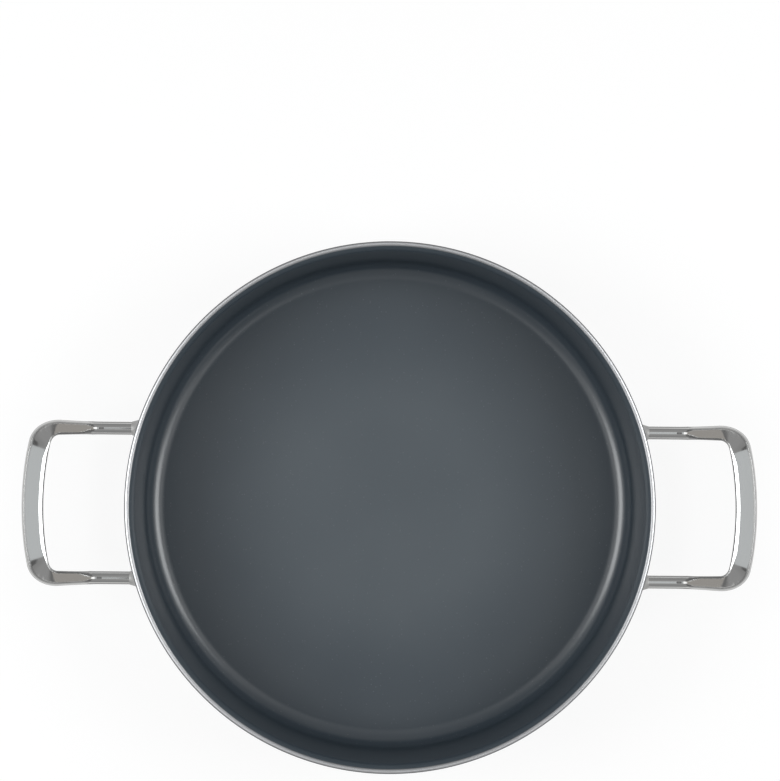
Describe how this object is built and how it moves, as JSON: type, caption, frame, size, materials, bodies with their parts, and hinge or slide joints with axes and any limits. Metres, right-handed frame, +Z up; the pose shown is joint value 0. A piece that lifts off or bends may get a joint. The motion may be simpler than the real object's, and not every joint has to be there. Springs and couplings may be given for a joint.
{
  "type": "saute pan",
  "caption": "Wide straight-walled saute pan with a grey ceramic non-stick lining, a flared polished rim and a flat-gripped steel loop handle on each side.",
  "frame": {"origin": "centre of the base, on the surface that the pan stands on", "axes": "+Z up along the pan's axis, +X through the middle of the right handle, +Y away from the viewer of the picture's lower edge"},
  "size_m": [0.404, 0.29, 0.0693],
  "materials": {
    "polished_steel": "polished stainless steel",
    "satin_steel": "satin stainless steel",
    "aluminium": "bare cut edge",
    "ceramic_lining": "satin slate-grey ceramic non-stick"
  },
  "bodies": {
    "root": {"outer_steel_ply": "polished_steel", "aluminium_core": "aluminium", "inner_steel_ply": "satin_steel", "ceramic_lining": "ceramic_lining", "left_handle": "polished_steel", "right_handle": "polished_steel", "left_front_foot": "polished_steel", "left_rear_foot": "polished_steel", "right_front_foot": "polished_steel", "right_rear_foot": "polished_steel"}
  },
  "joints": []
}
